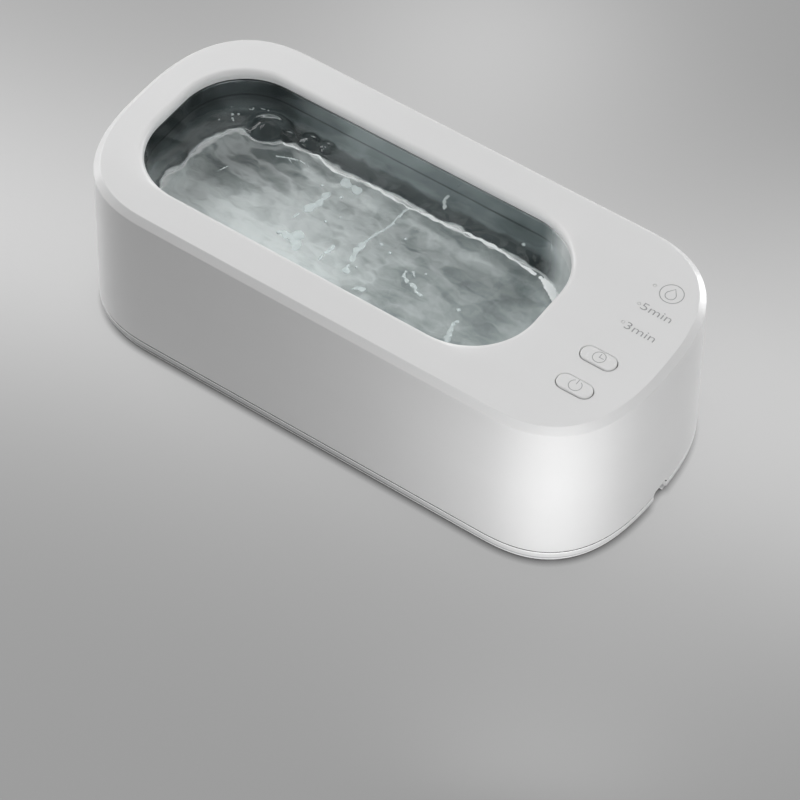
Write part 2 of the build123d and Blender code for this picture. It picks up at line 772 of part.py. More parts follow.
# ---------------------------------------------------------------- export
parts = {
    "upper_housing": make_upper_housing(),
    "base_cover": make_base_cover(),
    "rubber_feet": make_rubber_feet(),
    "case_screws": make_case_screws(),
    "wash_tank": make_wash_tank(),
    "tank_gasket": make_tank_gasket(),
    "tank_frame": make_tank_frame(),
    "tank_frame_screws": make_tank_frame_screws(),
    "transducer_plate": make_transducer_plate(),
    "transducer_disc": make_transducer_disc(),
    "transducer_leads": make_transducer_leads(),
    "power_button": make_key(power_key_y),
    "timer_button": make_key(timer_key_y),
    "power_switch": make_switch(power_key_y),
    "timer_switch": make_switch(timer_key_y),
    "power_plunger": make_plunger(power_key_y),
    "timer_plunger": make_plunger(timer_key_y),
    "light_pipes": make_light_pipes(),
    "light_shield": make_light_shield(),
    "indicator_leds": make_indicator_leds(),
    "key_board": make_key_board(),
    "key_board_screws": make_key_board_screws(),
    "control_chip": make_control_chip(),
    "panel_ribbon": make_panel_ribbon(),
    "main_board": make_main_board(),
    "main_board_screws": make_main_board_screws(),
    "drive_transformer": make_drive_transformer(),
    "transformer_winding": make_transformer_winding(),
    "tuning_inductor": make_tuning_inductor(),
    "heat_sink": make_heat_sink(),
    "drive_transistors": make_drive_transistors(),
    "filter_capacitors": make_filter_capacitors(),
    "film_capacitor": make_film_capacitor(),
    "board_connectors": make_board_connectors(),
    "dc_socket": make_dc_socket(),
    "dc_socket_pin": make_dc_socket_pin(),
    "power_leads": make_power_leads(),
}

os.makedirs("parts", exist_ok=True)
for name, shape in parts.items():
    if isinstance(shape, list):
        shape = Compound(children=shape)
    export_step(shape, f"parts/{name}.step")
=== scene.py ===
"""Table-top ultrasonic bath: white two-part case, steel basin with moving water, two keys.

Metres, +Z up, origin on the table under the middle of the case; +X is the end with the
keys and the supply inlet.
"""

import math
import random

import bpy
from mathutils import Matrix, Vector


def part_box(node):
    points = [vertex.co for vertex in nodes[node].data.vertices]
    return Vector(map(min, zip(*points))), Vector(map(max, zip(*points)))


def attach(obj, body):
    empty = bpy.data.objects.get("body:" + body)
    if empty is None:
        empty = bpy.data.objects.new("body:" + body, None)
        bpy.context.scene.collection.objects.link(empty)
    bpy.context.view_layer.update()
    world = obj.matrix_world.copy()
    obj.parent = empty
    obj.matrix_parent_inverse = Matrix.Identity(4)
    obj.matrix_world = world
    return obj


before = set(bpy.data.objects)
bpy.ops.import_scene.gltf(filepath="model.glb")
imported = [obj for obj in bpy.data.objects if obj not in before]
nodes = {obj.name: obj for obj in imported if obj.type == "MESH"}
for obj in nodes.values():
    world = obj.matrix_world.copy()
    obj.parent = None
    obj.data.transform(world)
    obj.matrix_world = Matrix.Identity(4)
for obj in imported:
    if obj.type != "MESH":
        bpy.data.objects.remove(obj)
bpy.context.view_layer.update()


# ---------------------------------------------------------------- table, lamps and camera
# The bath stands on a grey table top whose colour carries painted light, a pale band and a
# pale patch, and a painted contact shadow round the case. Large soft lamps hang round it,
# small dim ones stand close to its corners and over its mouth, and the camera looks down on
# it from in front and from the right.
class Value:
    """A number, colour or vector on its way through a finish."""

    def __init__(self, finish, socket):
        self.finish = finish
        self.socket = socket

    def _math(self, operation, first, second):
        return self.finish.node("Math", {"operation": operation}, {0: first, 1: second})

    def __add__(self, other):
        return self._math("ADD", self, other)

    def __radd__(self, other):
        return self._math("ADD", other, self)

    def __sub__(self, other):
        return self._math("SUBTRACT", self, other)

    def __rsub__(self, other):
        return self._math("SUBTRACT", other, self)

    def __mul__(self, other):
        return self._math("MULTIPLY", self, other)

    def __rmul__(self, other):
        return self._math("MULTIPLY", other, self)

    def __truediv__(self, other):
        return self._math("DIVIDE", self, other)

    def __rtruediv__(self, other):
        return self._math("DIVIDE", other, self)

    def __pow__(self, other):
        return self._math("POWER", self, other)

    def __rpow__(self, other):
        return self._math("POWER", other, self)


class Finish:
    """A material being mixed; node() adds whatever node it needs."""

    def __init__(self, name):
        self.material = bpy.data.materials.new(name)
        self.material.use_nodes = True
        self.tree = self.material.node_tree
        self.tree.nodes.clear()
        self.place = self.node("TexCoord", out="Object")

    def node(self, kind, settings=None, inputs=None, out=0):
        made = self.tree.nodes.new("ShaderNode" + kind)
        for name, value in (settings or {}).items():
            if name == "stops":
                while len(made.color_ramp.elements) < len(value):
                    made.color_ramp.elements.new(1.0)
                for stop, (at, colour) in zip(made.color_ramp.elements, value):
                    stop.position = at
                    stop.color = colour
            else:
                setattr(made, name, value)
        for name, value in (inputs or {}).items():
            if isinstance(value, Value):
                self.tree.links.new(value.socket, made.inputs[name])
            else:
                made.inputs[name].default_value = value
        return Value(self, made.outputs[out]) if made.outputs else None

    def moved(self, scale=(1, 1, 1), turn=(0, 0, 0), shift=(0, 0, 0)):
        """The object's own coordinates in metres, stretched, turned or shifted."""
        changes = {"Vector": self.place, "Location": shift, "Rotation": turn, "Scale": scale}
        return self.node("Mapping", {}, changes)

    def part(self, axis, vector=None):
        """One part of a vector, or of the piece's own place where none is given."""
        return self.node("SeparateXYZ", {}, {"Vector": vector or self.place}, out=axis)

    def noise(self, size, detail=3.0, roughness=0.5, stretch=(1, 1, 1)):
        """Soft random mottling whose patches are about size metres across, from 0 to 1."""
        grain = {"Vector": self.moved(stretch), "Scale": 1 / size}
        return self.node("TexNoise", {}, {**grain, "Detail": detail, "Roughness": roughness})

    def between(self, value, low, high, at_low=0.0, at_high=1.0):
        """value's range from low to high, carried over to at_low to at_high and held there."""
        ends = {"From Min": low, "From Max": high, "To Min": at_low, "To Max": at_high}
        return self.node("MapRange", {}, {"Value": value, **ends})

    def blend(self, factor, first, second):
        return self.node("Mix", {"data_type": "RGBA"}, {0: factor, 6: first, 7: second}, out=2)

    def bump(self, height, distance, strength=1.0):
        return self.node("Bump", {}, {"Height": height, "Distance": distance, "Strength": strength})

    def surface(self, **inputs):
        """Ends the finish: a Principled shader with these sockets, and its output."""
        named = {name.replace("_", " "): value for name, value in inputs.items()}
        shader = self.node("BsdfPrincipled", {}, named, out="BSDF")
        self.node("OutputMaterial", {}, {"Surface": shader})
        return self.material


def tone(red, green, blue):
    """A colour written as a paint chart gives it, from 0 to 255 each, made linear."""
    parts = [part / 255 for part in (red, green, blue)]
    linear = [part / 12.92 if part < 0.04045 else ((part + 0.055) / 1.055) ** 2.4 for part in parts]
    return (*linear, 1.0)


def dress(name, material):
    """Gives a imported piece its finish."""
    slots = nodes[name].data.materials
    slots.clear()
    slots.append(material)


bpy.ops.object.select_all(action="DESELECT")
bpy.ops.mesh.primitive_plane_add(size=6.0)
table = bpy.context.object
table.name = "table_top"
bpy.ops.object.mode_set(mode="EDIT")
bpy.ops.mesh.subdivide(number_cuts=3)
bpy.ops.object.mode_set(mode="OBJECT")
table_paint = Finish("table_paint")


def glow_of_table():
    """The grey sweep of the table top, with painted light on it: one soft pale band of painted
    light across it and a pale patch of painted light behind, both fading out as a bell curve
    does, and the grey falling off towards +X. Greys are from 0 to 255."""
    band_turn, band_off = math.radians(17.0), 0.009
    near_reach, far_reach, patch_reach = 0.0816, 0.0989, 0.0647
    band_grey, patch_grey, plain_grey, fall_per_metre = 45.0, 30.0, 161.0, 24.0
    on_band = table_paint.moved(turn=(0, 0, -band_turn), shift=(0, -band_off, 0))
    across = table_paint.part("Y", on_band)
    near_side = table_paint.between(across, -0.0005, 0.0005, 1.0, 0.0)
    reach = near_side * near_reach + (1 - near_side) * far_reach
    from_patch = table_paint.moved(shift=(0.0574, -0.1444, 0))
    patch = table_paint.node("VectorMath", {"operation": "LENGTH"}, {0: from_patch}, out="Value")
    band_part = math.e ** ((across / reach) * (across / reach) * -1.0) * band_grey
    patch_part = math.e ** ((patch / patch_reach) * (patch / patch_reach) * -1.0) * patch_grey
    shade = (band_part + patch_part - table_paint.part("X") * fall_per_metre + plain_grey) / 255.0
    grey = ((shade + 0.055) / 1.055) ** 2.4
    return table_paint.node("CombineXYZ", {}, {"X": grey, "Y": grey, "Z": grey})


table_glow = glow_of_table()
table_grain = table_paint.noise(0.0012, 4.0)
table_skin = table_paint.node(
    "BsdfPrincipled",
    {},
    {
        "Base Color": table_glow,
        "Roughness": table_paint.between(table_grain, 0.3, 0.7, 0.62, 0.72),
        "Normal": table_paint.bump(table_grain, 0.00002),
    },
)
seen = ("Is Camera Ray", "Is Glossy Ray", "Is Transmission Ray")
shown_share = 0.82
in_view = sum(table_paint.node("LightPath", out=ray) for ray in seen) * shown_share
# Painted contact shadow: the table's shown colour darkens to near black where an occlusion measure finds
# the case close by.
contact_reach, contact_power = 0.0029, 1.8
contact = table_paint.node("AmbientOcclusion", {"samples": 12}, {"Distance": contact_reach}, out="AO")
table_shown = table_paint.blend(contact ** contact_power, tone(24, 24, 25), table_glow)
table_light = table_paint.node("Emission", {}, {"Color": table_shown, "Strength": 1.0})
table_shader = table_paint.node("MixShader", {}, {0: in_view, 1: table_skin, 2: table_light})
table_paint.node("OutputMaterial", {}, {"Surface": table_shader})
table.data.materials.append(table_paint.material)

lamps = [
    # name, place, aim, width, height, watts
    ("high_left", (-0.50, -0.10, 0.80), (0, 0, 0.05), 0.3, 0.3, 1.22),
    ("high_far_left", (-0.45, 0.35, 0.75), (0, 0, 0.05), 0.3, 0.3, 0.24),
    ("high_right", (0.55, 0.10, 0.75), (0, 0, 0.05), 0.5, 0.5, 0.20),
    ("overhead", (0.10, 0.10, 0.90), (0, 0, 0.05), 0.9, 0.7, 0.56),
    ("high_far", (0.0, 0.50, 0.80), (0, 0, 0.05), 0.6, 0.4, 0.76),
    ("left_end", (-0.60, 0.05, 0.25), (-0.05, 0, 0.03), 0.3, 0.3, 1.45),
    ("rear", (-0.10, 0.70, 0.30), (0, 0, 0.03), 0.5, 0.3, 0.86),
    ("rear_right", (0.45, 0.45, 0.25), (0.05, 0, 0.03), 0.3, 0.3, 0.12),
    ("rear_end", (0.18, 0.55, 0.15), (0.10, 0.02, 0.03), 0.3, 0.2, 0.64),
    ("front_right", (0.26, -0.20, 0.22), (0.09, -0.03, 0.05), 0.24, 0.24, 0.31),
    ("near_corner", (0.135, -0.115, 0.045), (0.09, -0.03, 0.03), 0.06, 0.05, 0.050),
    ("near_end", (0.125, 0.16, 0.05), (0.10, 0.03, 0.03), 0.06, 0.05, 0.060),
    ("far_corner", (-0.17, 0.13, 0.17), (-0.08, 0.035, 0.065), 0.14, 0.14, 0.022),
    ("near_left", (-0.17, -0.06, 0.06), (-0.09, -0.02, 0.03), 0.08, 0.06, 0.008),
    ("over_mouth", (-0.0157, -0.030, 0.075), (-0.0157, 0.031, 0.0625), 0.118, 0.016, 0.0064),
    ("across_mouth", (0.050, 0.0, 0.075), (-0.089, 0.0, 0.0625), 0.05, 0.008, 0.0010),
]
for name, place, aim, width, height, watts in lamps:
    bpy.ops.object.light_add(type="AREA", location=place)
    lamp = bpy.context.object
    lamp.name = "lamp_" + name
    lamp.visible_camera = False
    lamp.data.shape = "RECTANGLE"
    lamp.data.size = width
    lamp.data.size_y = height
    lamp.data.energy = watts
    lamp.rotation_euler = (Vector(aim) - Vector(place)).to_track_quat("-Z", "Y").to_euler()

room = bpy.data.worlds.new("room")
room.use_nodes = True
room.node_tree.nodes["Background"].inputs["Color"].default_value = (1, 1, 1, 1)
room.node_tree.nodes["Background"].inputs["Strength"].default_value = 0.163
bpy.context.scene.world = room

bearing, height_angle, camera_roll = (math.radians(turn) for turn in (34.457, 50.937, 0.782))
back = Vector(
    (
        math.sin(bearing) * math.cos(height_angle),
        -math.cos(bearing) * math.cos(height_angle),
        math.sin(height_angle),
    )
)
level = Vector((math.cos(bearing), math.sin(bearing), 0))
upright = back.cross(level)
camera_x = math.cos(camera_roll) * level + math.sin(camera_roll) * upright
camera_y = math.cos(camera_roll) * upright - math.sin(camera_roll) * level
aim, distance, aside, lowered = Vector((0, 0, 0.035)), 1.111685, 0.00171, 0.036517
camera_place = aim + distance * back + aside * camera_x - lowered * camera_y
bpy.ops.object.camera_add()
camera = bpy.context.object
camera.data.lens = 154.885
camera.data.sensor_width = 36.0
camera.data.clip_start = 0.05
camera_turn = Matrix((camera_x, camera_y, back)).transposed().to_4x4()
camera.matrix_world = Matrix.Translation(camera_place) @ camera_turn
bpy.context.scene.camera = camera
bpy.context.scene.view_settings.view_transform = "Standard"


# ---------------------------------------------------------------- base cover and feet
# The base is a tray moulded in the same white ABS as the housing, from a coarser tool; its
# side is painted greyer towards the left-hand end, a painted shade. Four round rubber pads
# are pressed into seats under it.
def moulded_plastic(name, colour, shade, roughness, grain=0.00035, depth=0.000006, glow=0.0):
    """Glossy or satin moulded plastic with the fine skin of its tool and faint flow marks;
    a glow lets light spread a few millimetres under the skin."""
    made = Finish(name)
    flow = made.noise(0.03, 2.0, stretch=(0.5, 1.0, 1.4))
    skin = made.noise(grain, 2.0)
    rub = made.noise(0.004, 5.0, 0.7)
    worn = made.between(rub, 0.52, 0.72)
    return made.surface(
        Base_Color=made.blend(made.between(flow, 0.3, 0.7, 0.0, 0.6), colour, shade),
        Roughness=made.between(flow, 0.3, 0.7, roughness * 0.93, roughness * 1.07) + worn * 0.03,
        Normal=made.bump(skin, depth),
        IOR=1.5,
        Subsurface_Weight=glow,
        Subsurface_Radius=(1.0, 1.0, 1.0),
        Subsurface_Scale=0.0025,
    )


def banded_base():
    """The base's white plastic with light and shade painted into its colour: a painted
    highlight on the bead under the seam, painted shade in the seam, in the groove further
    down and over the band's lower part, a pale foot of painted light, and painted light
    making the side paler towards the right-hand end."""
    bead_bottom, bead_top, groove_top = 0.00562, 0.00596, 0.0035
    edge = 0.00003
    made = Finish("base_white")
    height = made.part("Z")
    along = made.part("X")
    grain = made.noise(0.0005, 2.0)
    flow = made.noise(0.03, 2.0, stretch=(0.5, 1.0, 1.4))
    # Painted shade in the seam: the base is dark above the bead's top.
    seam = made.between(height, bead_top - edge, bead_top + edge)
    # Painted highlight: the bead under the seam is near white.
    bead = made.between(height, bead_bottom - edge, bead_bottom + edge) * (1 - seam)
    # Painted shade: the base is darker below the groove's top, much darker towards the left-hand end, and
    # the band is shaded over its lower part.
    groove = made.between(height, groove_top + 0.0003, groove_top)
    low = made.between(height, bead_bottom, groove_top)
    # Painted light and shade along the side: paler towards the right-hand end, greyer towards the left.
    end = made.between(along, 0.020, 0.080)
    end_white = made.blend(flow, tone(238, 238, 238), tone(233, 233, 233))
    plain = made.blend(end, tone(208, 209, 209), end_white)
    lower = made.blend(low * 0.4, plain, tone(196, 197, 198))
    shaded = made.blend(groove, lower, made.blend(end, tone(80, 82, 83), tone(196, 197, 198)))
    # Painted light: a pale strip along the foot.
    foot_lightened = made.blend(made.between(height, 0.00145, 0.00125), shaded, tone(246, 246, 246))
    seam_shaded = made.blend(seam, foot_lightened, tone(40, 41, 42))
    return made.surface(
        Base_Color=made.blend(bead, seam_shaded, tone(253, 253, 253)),
        Roughness=made.between(flow, 0.3, 0.7, 0.3, 0.38) + groove * 0.15,
        Normal=made.bump(grain, 0.000012),
        IOR=1.5,
    )


dress("base_cover", banded_base())


def foot_rubber():
    """Dark moulded rubber with a dusty grain."""
    made = Finish("foot_rubber")
    grain = made.noise(0.0004, 4.0, 0.7)
    dust = made.noise(0.003, 5.0, 0.65)
    return made.surface(
        Base_Color=made.blend(made.between(dust, 0.45, 0.7), tone(58, 59, 61), tone(92, 92, 92)),
        Roughness=made.between(grain, 0.3, 0.7, 0.72, 0.9),
        Normal=made.bump(grain, 0.00004),
    )


dress("rubber_feet", foot_rubber())


# ---------------------------------------------------------------- drive board
# Two glass-fibre boards with a green mask carry the electronics: the drive board stands on
# the base's posts, and the smaller key board hangs from the panel's bosses.
def board_mask():
    """Green solder mask over copper tracks, with tan glass-fibre edges."""
    made = Finish("board_green")
    cells = made.node(
        "TexBrick",
        {"offset": 0.37, "squash": 1.7, "squash_frequency": 3},
        {
            "Vector": made.moved((1, 1, 0.0), (0, 0, math.radians(90))),
            "Scale": 1.0,
            "Mortar Size": 0.00022,
            "Mortar Smooth": 0.3,
            "Brick Width": 0.0062,
            "Row Height": 0.0017,
            "Color1": (1, 1, 1, 1),
            "Color2": (0.75, 0.75, 0.75, 1),
            "Mortar": (0, 0, 0, 1),
        },
        out="Fac",
    )
    weave = made.noise(0.0007, 2.0)
    broad = made.noise(0.006, 2.0)
    normal = made.node("NewGeometry", out="Normal")
    upright_face = made.part("Z", normal)
    flat = made.between(upright_face * upright_face, 0.3, 0.6)
    copper = (1 - cells) * made.between(broad, 0.42, 0.5)
    mask = made.blend(copper, tone(18, 74, 46), tone(30, 104, 62))
    return made.surface(
        Base_Color=made.blend(flat, tone(168, 152, 104), mask),
        Roughness=made.between(weave, 0.3, 0.7, 0.3, 0.42),
        Normal=made.bump(copper + weave * 0.2, 0.00003),
    )


board_green = board_mask()
dress("main_board", board_green)
dress("key_board", board_green)


def screw_steel():
    """Zinc-plated steel: bright, slightly yellow in patches, with turning marks."""
    made = Finish("screw_steel")
    patch = made.noise(0.0016, 4.0, 0.6)
    rings = made.node(
        "TexWave",
        {"wave_type": "RINGS", "rings_direction": "Z"},
        {"Vector": made.place, "Scale": 1400.0, "Distortion": 1.0},
        out="Fac",
    )
    return made.surface(
        Base_Color=made.blend(patch, tone(196, 198, 200), tone(205, 200, 184)),
        Metallic=1.0,
        Roughness=made.between(patch, 0.3, 0.7, 0.26, 0.44),
        Normal=made.bump(rings, 0.00001),
    )


plated_steel = screw_steel()
for name in ("case_screws", "main_board_screws", "key_board_screws", "tank_frame_screws"):
    dress(name, plated_steel)


def ferrite_core():
    """Sintered ferrite: dense dark grey with pits and a faint sparkle."""
    made = Finish("ferrite")
    pits = made.noise(0.0005, 5.0, 0.75)
    return made.surface(
        Base_Color=made.blend(made.between(pits, 0.35, 0.7), tone(44, 44, 47), tone(78, 78, 82)),
        Roughness=made.between(pits, 0.3, 0.7, 0.45, 0.7),
        Normal=made.bump(pits, 0.00005),
    )


ferrite = ferrite_core()
dress("drive_transformer", ferrite)


def winding_tape():
    """Overlapping turns of yellow polyester tape."""
    made = Finish("winding_tape")
    turns = made.node(
        "TexWave",
        {"wave_type": "BANDS", "bands_direction": "Y", "wave_profile": "SAW"},
        {"Vector": made.place, "Scale": 60.0, "Distortion": 0.4, "Detail": 2.0},
        out="Fac",
    )
    crease = made.noise(0.001, 3.0, stretch=(0.4, 1.0, 0.4))
    yellow, shade = tone(214, 176, 62), tone(188, 148, 42)
    return made.surface(
        Base_Color=made.blend(made.between(turns, 0.0, 1.0, 0.0, 0.7), yellow, shade),
        Roughness=made.between(crease, 0.3, 0.7, 0.22, 0.4),
        Normal=made.bump(turns + crease * 0.3, 0.00006),
        Coat_Weight=0.4,
    )


dress("transformer_winding", winding_tape())


def drum_inductor():
    """Ferrite drum whose waist is wound with lacquered copper wire."""
    made = Finish("drum_inductor")
    box_low, box_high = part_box("tuning_inductor")
    middle = (box_low + box_high) / 2
    centred = made.moved(shift=tuple(-middle))
    flat = made.node("VectorMath", {"operation": "MULTIPLY"}, {0: centred, 1: (1.0, 1.0, 0.0)})
    radius = made.node("VectorMath", {"operation": "LENGTH"}, {0: flat}, out="Value")
    level_z = made.part("Z", centred)
    waist = made.between(radius, 0.0036, 0.0038, 1.0, 0.0)
    # Painted shade and highlight on the winding: the copper is dark in the grooves between turns and
    # bright on their crests.
    radians_per_metre = 20900.0
    wire = made.node("Math", {"operation": "SINE"}, {0: level_z * radians_per_metre}) * 0.5 + 0.5
    pits = made.noise(0.0005, 4.0, 0.7)
    copper = made.blend(wire, tone(112, 52, 22), tone(206, 118, 66))
    stone = made.blend(pits, tone(40, 40, 43), tone(74, 74, 78))
    return made.surface(
        Base_Color=made.blend(waist, stone, copper),
        Metallic=waist * 0.9,
        Roughness=0.5 - waist * 0.2 + pits * 0.1,
        Normal=made.bump(wire * waist + pits * 0.3, 0.00006),
    )


dress("tuning_inductor", drum_inductor())


def extruded_aluminium(name, colour, roughness):
    """Extruded or turned aluminium with fine drawn lines along its length."""
    made = Finish(name)
    lines = made.noise(0.0006, 4.0, 0.65, stretch=(1.0, 1.0, 0.03))
    patch = made.noise(0.008, 3.0)
    return made.surface(
        Base_Color=made.blend(patch, colour, tuple(part * 0.8 for part in colour[:3]) + (1.0,)),
        Metallic=1.0,
        Roughness=made.between(lines, 0.3, 0.7, roughness * 0.8, roughness * 1.25),
        Normal=made.bump(lines, 0.00002),
    )


dress("heat_sink", extruded_aluminium("sink_aluminium", tone(150, 152, 155), 0.38))


def package_plastic(name, colour, shade, roughness=0.5):
    """Moulded epoxy or plastic of an electronic part: matt, slightly speckled."""
    made = Finish(name)
    speckle = made.noise(0.00022, 3.0, 0.7)
    cloud = made.noise(0.003, 3.0)
    return made.surface(
        Base_Color=made.blend(made.between(cloud, 0.3, 0.7), colour, shade),
        Roughness=made.between(speckle, 0.3, 0.7, roughness * 0.85, roughness * 1.15),
        Normal=made.bump(speckle, 0.000012),
    )


black_plastic = package_plastic("black_plastic", tone(34, 34, 36), tone(44, 44, 46))
for name in ("drive_transistors", "control_chip", "light_shield", "dc_socket"):
    dress(name, black_plastic)
dress("power_switch", package_plastic("switch_black", tone(40, 40, 42), tone(50, 50, 52), 0.42))
dress("timer_switch", nodes["power_switch"].data.materials[0])
dress("film_capacitor", package_plastic("film_case", tone(170, 54, 40), tone(150, 44, 34), 0.35))
connector_nylon = package_plastic("connector_nylon", tone(226, 221, 204), tone(212, 206, 188), 0.45)
for name in ("board_connectors", "power_plunger", "timer_plunger"):
    dress(name, connector_nylon)


def capacitor_sleeve():
    """Dark blue heat-shrunk sleeve with a pale polarity stripe; the can's top stays bare."""
    made = Finish("capacitor_sleeve")
    upward = made.part("Z", made.node("NewGeometry", out="Normal"))
    top = made.between(upward, 0.85, 0.95)
    sideways = made.part("X", made.node("NewGeometry", out="Normal"))
    stripe = made.between(sideways, -0.86, -0.88) * (1 - top)
    crease = made.noise(0.0012, 3.0)
    sleeve = made.blend(stripe, tone(28, 34, 62), tone(190, 192, 196))
    return made.surface(
        Base_Color=made.blend(top, sleeve, tone(190, 192, 194)),
        Metallic=top,
        Roughness=made.between(crease, 0.3, 0.7, 0.24, 0.36),
        Normal=made.bump(crease, 0.00004),
    )


dress("filter_capacitors", capacitor_sleeve())


# ---------------------------------------------------------------- supply inlet and leads
# The low-voltage supply enters a barrel socket held in the base's cradle. Insulated leads
# and a flat ribbon join the socket, the piezo disc and the key board to the drive board.
def pin_brass():
    """Plated brass, bright, a little dull where the plug rubs."""
    made = Finish("pin_brass")
    rub = made.noise(0.0008, 4.0, 0.6, stretch=(0.1, 1.0, 1.0))
    return made.surface(
        Base_Color=made.blend(rub, tone(214, 186, 118), tone(196, 162, 92)),
        Metallic=1.0,
        Roughness=made.between(rub, 0.3, 0.7, 0.22, 0.4),
        Normal=made.bump(rub, 0.00001),
    )


dress("dc_socket_pin", pin_brass())


def pair_insulation(name, middle_y):
    """PVC insulation: the lead on the far side is red, the one on the near side black."""
    made = Finish(name)
    side_y = made.part("Y")
    red = made.between(side_y, middle_y - 0.0001, middle_y + 0.0001)
    print_marks = made.noise(0.0015, 3.0)
    return made.surface(
        Base_Color=made.blend(red, tone(36, 36, 38), tone(176, 36, 30)),
        Roughness=made.between(print_marks, 0.3, 0.7, 0.36, 0.5),
        Normal=made.bump(print_marks, 0.00003),
    )


lead_low, lead_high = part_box("transducer_leads")
dress("transducer_leads", pair_insulation("lead_red", (lead_low.y + lead_high.y) / 2))
dress("power_leads", pair_insulation("supply_lead_red", 0.0))


def ribbon_grey():
    """Flat ribbon of fused conductors, grey with one red edge."""
    made = Finish("ribbon_grey")
    low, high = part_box("panel_ribbon")
    side_y = made.part("Y")
    pitch = 0.001
    # Painted shade and light on the ribbon: the grey is darker in the valleys between the conductors and
    # paler on their crests.
    waved = made.node("Math", {"operation": "SINE"}, {0: (side_y - low.y) * (2 * math.pi / pitch)})
    ridge = waved * 0.5 + 0.5
    edge = made.between(side_y, high.y - 0.0009, high.y - 0.0008)
    grey = made.blend(ridge, tone(150, 151, 154), tone(176, 177, 180))
    return made.surface(
        Base_Color=made.blend(edge, grey, tone(170, 40, 36)),
        Roughness=made.between(made.noise(0.001), 0.3, 0.7, 0.4, 0.55),
        Normal=made.bump(ridge, 0.00015),
    )


dress("panel_ribbon", ribbon_grey())


# ---------------------------------------------------------------- basin and transducer
# The basin is deep drawn from stainless sheet and clamped up to the case by a moulded
# frame, with a silicone ring between. The piezo disc is bonded under it on a plate.
def basin_steel():
    """Drawn stainless steel with light and shade painted into its colour: polished walls with
    a painted shade line at the water and painted shade on their lower part under the water,
    painted darker at the far left and with a painted reflection glaring low down at the
    right-hand end; a satin floor in pale random clouds, painted paler towards the near left,
    painted darker beside the hump and at the far left, and overlaid with painted caustic
    light in ripple strokes and threads; and a painted highlight, a bright wandering line
    where wall and floor meet."""
    made = Finish("basin_steel")
    along, across, height = (made.part(axis) for axis in "XYZ")
    wander = made.noise(0.012, 3.0) * 0.0020
    level = height + wander - along * 0.014 + 0.0006
    floor = made.between(level, 0.0330, 0.0318)
    # Painted highlight: a bright wandering line, less metallic, where wall and floor meet.
    breadth = made.between(made.noise(0.009, 2.0), 0.35, 0.65, 0.0002, 0.0011)
    below = made.between(level + breadth, 0.0322, 0.0328)
    line = made.between(level, 0.0340, 0.0332) * below
    cloud = made.noise(0.024, 5.0, 0.55, stretch=(1.0, 1.3, 1.0))
    slant = math.radians(-34.0)
    stroke = made.node(
        "TexNoise",
        {},
        {
            "Vector": made.moved((0.34, 1.0, 1.0), (0, 0, slant)),
            "Scale": 250.0,
            "Detail": 4.0,
            "Roughness": 0.55,
            "Distortion": 0.6,
        },
    )
    fold = made.noise(0.016, 3.0, 0.55, stretch=(0.7, 1.3, 1.0))
    thread = (1 - (fold * 2.0 - 1.0) ** 2.0) ** 70.0
    fine = made.noise(0.00025, 2.0)
    # Painted light and shade on the floor: paler towards the near left and on the near side, darker beside
    # the hump and at the far left.
    left = made.between(along, 0.004, -0.044)
    far = made.between(across, -0.012, 0.026)
    far_left = made.between(along, -0.058, -0.070)
    hump_shade = made.between(along, -0.050, -0.063) * made.between(across, -0.002, 0.009)
    pale = made.between(cloud, 0.3, 0.7) * 0.34 + left * (1 - far * 0.8) * 0.76 + (1 - far) * 0.08
    pale = pale - hump_shade * 0.45 - far_left * 0.12 + 0.06
    # Painted caustic light on the floor: slanted ripple strokes and bright threads, strongest towards the
    # left.
    ripple = made.between(stroke, 0.36, 0.64, -0.5, 0.5) * made.between(along, 0.030, -0.040, 0.17, 0.36)
    floor_colour = made.blend(pale + ripple, tone(116, 126, 126), tone(240, 246, 245))
    painted_caustic_threads = thread * made.between(along, 0.02, -0.04, 0.14, 0.5)
    floor_colour = made.blend(painted_caustic_threads, floor_colour, tone(248, 252, 252))
    # Painted shade: the wall at the far left is darker above the water.
    far_left_shade = far_left * made.between(height, 0.041, 0.052)
    # Painted reflection: the right-hand end wall above the floor is near white and less metallic.
    painted_reflection = made.between(along, 0.0360, 0.0455) * made.between(height, 0.0270, 0.0325)
    # Painted shade: a dark line along the wall at the water's edge.
    waterline_shade = made.between(height, 0.0540, 0.0543) * made.between(height, 0.0552, 0.0549)
    # Painted shade: the walls are darker on their lower part under the water, except at the right-hand
    # end.
    waver = made.noise(0.010, 4.0, 0.6, stretch=(1.0, 1.0, 0.4)) * 0.012
    foot = made.between(height + waver, 0.0500, 0.0470) * made.between(along, 0.047, 0.041)
    foot = foot * (1 - far_left * 0.45)
    wall_colour = made.blend(made.between(cloud, 0.35, 0.65), tone(148, 155, 157), tone(176, 182, 183))
    wall_colour = made.blend(foot * 0.8, wall_colour, tone(92, 98, 100))
    wall_colour = made.blend(far_left_shade * 0.75, wall_colour, tone(60, 64, 66))
    wall_colour = made.blend(waterline_shade * 0.5, wall_colour, tone(50, 55, 56))
    wall_colour = made.blend(painted_reflection, wall_colour, tone(248, 251, 251))
    colour = made.blend(floor, wall_colour, floor_colour)
    return made.surface(
        Base_Color=made.blend(line, colour, tone(252, 253, 253)),
        Metallic=1 - floor * 0.6 - line * 0.4 - painted_reflection * (1 - floor) * 0.72,
        Roughness=made.between(cloud, 0.3, 0.7, 0.1, 0.16) + floor * 0.4 + fine * 0.03,
        Normal=made.bump(fine, 0.000003),
    )


dress("wash_tank", basin_steel())


